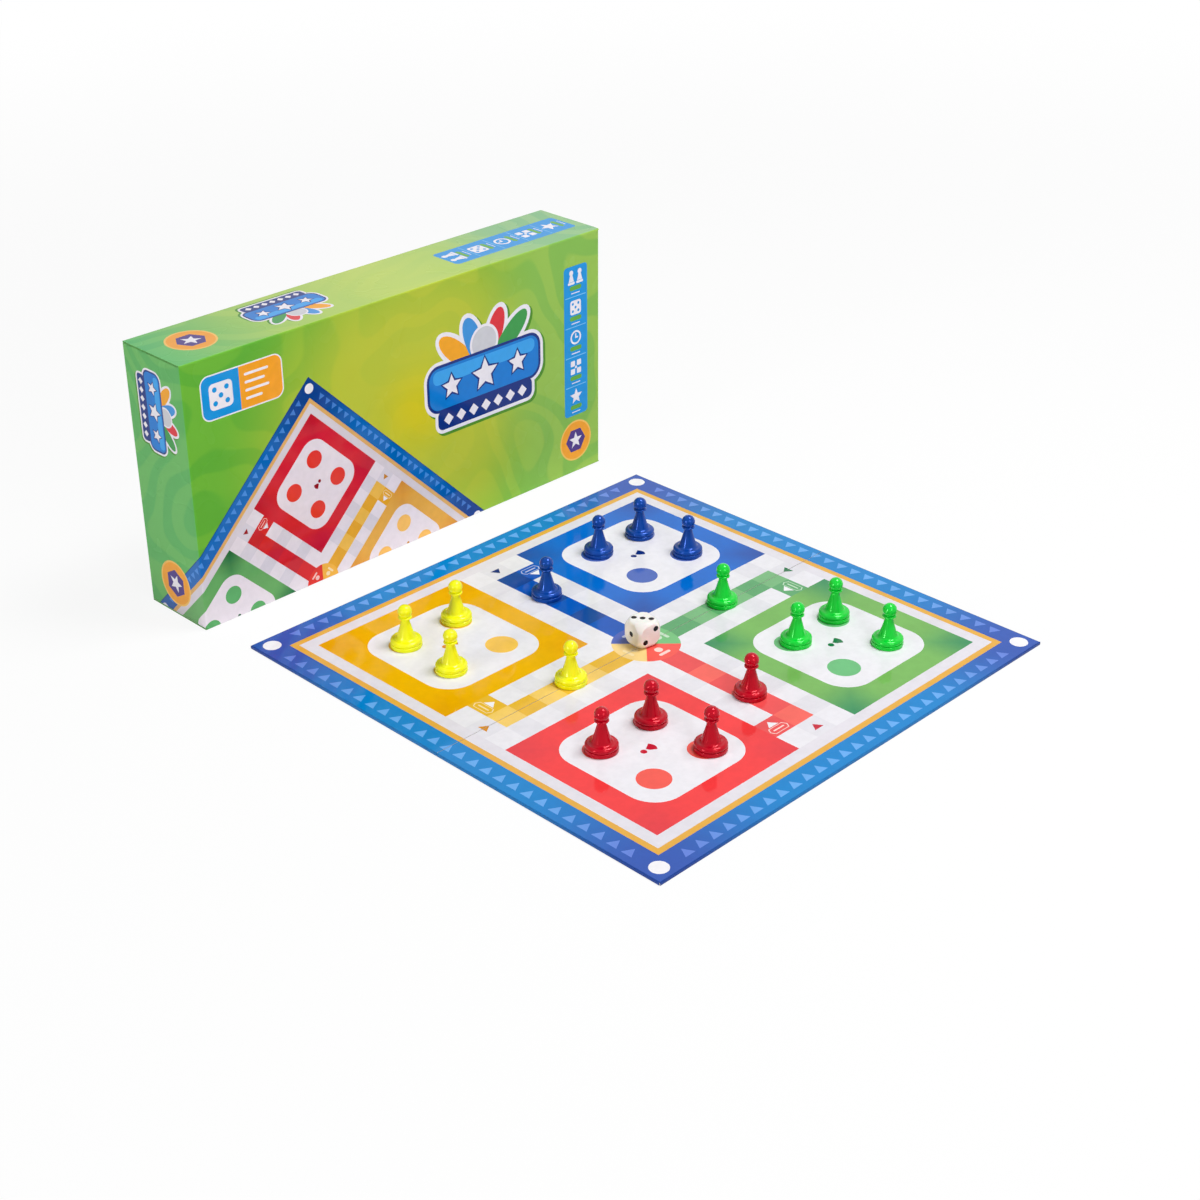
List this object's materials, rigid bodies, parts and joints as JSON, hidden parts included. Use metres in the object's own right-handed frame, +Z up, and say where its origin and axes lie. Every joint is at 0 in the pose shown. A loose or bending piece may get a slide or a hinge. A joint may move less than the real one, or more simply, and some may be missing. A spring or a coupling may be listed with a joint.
{
  "type": "magnetic ludo game",
  "caption": "Folding magnetic ludo board with magnet-footed pawns and a rounded die, in front of its two-piece card carton; the board folds, the base pulls out and the pieces lift off.",
  "frame": {"origin": "on the table, under the middle of the open board, where the fold crosses the board's centre", "axes": "+X along the fold line, +Y from the players' side towards the carton, +Z up from the table"},
  "size_m": [0.3254, 0.4089, 0.1648],
  "materials": {
    "board_print": "gloss laminated print",
    "steel_sheet": "tinned",
    "grey_board": "raw grey board",
    "back_liner": "matt paper",
    "hinge_strip": "book cloth",
    "yellow_plastic": "moulded gloss",
    "blue_plastic": "moulded gloss",
    "green_plastic": "moulded gloss",
    "red_plastic": "moulded gloss",
    "magnet": "sintered ferrite",
    "die_plastic": "polished",
    "pip_paint": "paint",
    "carton_print": "gloss varnished print",
    "carton_card": "varnished print outside, white lined inside",
    "insert_card": "white lined chipboard"
  },
  "bodies": {
    "carton_lid": {"carton_lid": "carton_print"},
    "carton_base": {"carton_base": "carton_card", "left_insert": "insert_card", "right_insert": "insert_card"},
    "front_half": {"front_print_sheet": "board_print", "front_steel_sheet": "steel_sheet", "front_core_board": "grey_board", "front_back_liner": "back_liner", "front_hinge_strip": "hinge_strip"},
    "rear_half": {"rear_print_sheet": "board_print", "rear_steel_sheet": "steel_sheet", "rear_core_board": "grey_board", "rear_back_liner": "back_liner", "rear_hinge_strip": "hinge_strip"},
    "yellow_pawn_1": {"yellow_pawn_1": "yellow_plastic", "yellow_pawn_magnet_1": "magnet"},
    "yellow_pawn_2": {"yellow_pawn_2": "yellow_plastic", "yellow_pawn_magnet_2": "magnet"},
    "yellow_pawn_3": {"yellow_pawn_3": "yellow_plastic", "yellow_pawn_magnet_3": "magnet"},
    "yellow_pawn_4": {"yellow_pawn_4": "yellow_plastic", "yellow_pawn_magnet_4": "magnet"},
    "blue_pawn_1": {"blue_pawn_1": "blue_plastic", "blue_pawn_magnet_1": "magnet"},
    "blue_pawn_2": {"blue_pawn_2": "blue_plastic", "blue_pawn_magnet_2": "magnet"},
    "blue_pawn_3": {"blue_pawn_3": "blue_plastic", "blue_pawn_magnet_3": "magnet"},
    "blue_pawn_4": {"blue_pawn_4": "blue_plastic", "blue_pawn_magnet_4": "magnet"},
    "green_pawn_1": {"green_pawn_1": "green_plastic", "green_pawn_magnet_1": "magnet"},
    "green_pawn_2": {"green_pawn_2": "green_plastic", "green_pawn_magnet_2": "magnet"},
    "green_pawn_3": {"green_pawn_3": "green_plastic", "green_pawn_magnet_3": "magnet"},
    "green_pawn_4": {"green_pawn_4": "green_plastic", "green_pawn_magnet_4": "magnet"},
    "red_pawn_1": {"red_pawn_1": "red_plastic", "red_pawn_magnet_1": "magnet"},
    "red_pawn_2": {"red_pawn_2": "red_plastic", "red_pawn_magnet_2": "magnet"},
    "red_pawn_3": {"red_pawn_3": "red_plastic", "red_pawn_magnet_3": "magnet"},
    "red_pawn_4": {"red_pawn_4": "red_plastic", "red_pawn_magnet_4": "magnet"},
    "die": {"die": "die_plastic", "die_pip_paint": "pip_paint"}
  },
  "joints": [
    {"name": "base_pull", "type": "slide", "parent": "carton_lid", "child": "carton_base", "axis": [0, 1, 0], "range_m": [0, 0.09]},
    {"name": "board_tip", "type": "hinge", "parent": "carton_lid", "child": "front_half", "pos_m": [0, -0.16, 0], "axis": [1, 0, 0], "range_deg": [0, 90]},
    {"name": "board_fold", "type": "hinge", "parent": "front_half", "child": "rear_half", "pos_m": [0, 0, -0.0001], "axis": [-1, 0, 0], "range_deg": [0, 180]},
    {"name": "lift_yellow_pawn_1", "type": "slide", "parent": "rear_half", "child": "yellow_pawn_1", "axis": [0, 0, 1], "range_m": [0, 0.04]},
    {"name": "lift_yellow_pawn_2", "type": "slide", "parent": "rear_half", "child": "yellow_pawn_2", "axis": [0, 0, 1], "range_m": [0, 0.04]},
    {"name": "lift_yellow_pawn_3", "type": "slide", "parent": "rear_half", "child": "yellow_pawn_3", "axis": [0, 0, 1], "range_m": [0, 0.04]},
    {"name": "lift_yellow_pawn_4", "type": "slide", "parent": "rear_half", "child": "yellow_pawn_4", "axis": [0, 0, 1], "range_m": [0, 0.04]},
    {"name": "lift_blue_pawn_1", "type": "slide", "parent": "rear_half", "child": "blue_pawn_1", "axis": [0, 0, 1], "range_m": [0, 0.04]},
    {"name": "lift_blue_pawn_2", "type": "slide", "parent": "rear_half", "child": "blue_pawn_2", "axis": [0, 0, 1], "range_m": [0, 0.04]},
    {"name": "lift_blue_pawn_3", "type": "slide", "parent": "rear_half", "child": "blue_pawn_3", "axis": [0, 0, 1], "range_m": [0, 0.04]},
    {"name": "lift_blue_pawn_4", "type": "slide", "parent": "rear_half", "child": "blue_pawn_4", "axis": [0, 0, 1], "range_m": [0, 0.04]},
    {"name": "lift_green_pawn_1", "type": "slide", "parent": "front_half", "child": "green_pawn_1", "axis": [0, 0, 1], "range_m": [0, 0.04]},
    {"name": "lift_green_pawn_2", "type": "slide", "parent": "front_half", "child": "green_pawn_2", "axis": [0, 0, 1], "range_m": [0, 0.04]},
    {"name": "lift_green_pawn_3", "type": "slide", "parent": "front_half", "child": "green_pawn_3", "axis": [0, 0, 1], "range_m": [0, 0.04]},
    {"name": "lift_green_pawn_4", "type": "slide", "parent": "rear_half", "child": "green_pawn_4", "axis": [0, 0, 1], "range_m": [0, 0.04]},
    {"name": "lift_red_pawn_1", "type": "slide", "parent": "front_half", "child": "red_pawn_1", "axis": [0, 0, 1], "range_m": [0, 0.04]},
    {"name": "lift_red_pawn_2", "type": "slide", "parent": "front_half", "child": "red_pawn_2", "axis": [0, 0, 1], "range_m": [0, 0.04]},
    {"name": "lift_red_pawn_3", "type": "slide", "parent": "front_half", "child": "red_pawn_3", "axis": [0, 0, 1], "range_m": [0, 0.04]},
    {"name": "lift_red_pawn_4", "type": "slide", "parent": "front_half", "child": "red_pawn_4", "axis": [0, 0, 1], "range_m": [0, 0.04]},
    {"name": "lift_die", "type": "slide", "parent": "rear_half", "child": "die", "axis": [0, 0, 1], "range_m": [0, 0.05]}
  ],
  "couplings": [
    {"joint": "board_fold", "follows": "board_tip", "ratio": 2}
  ]
}
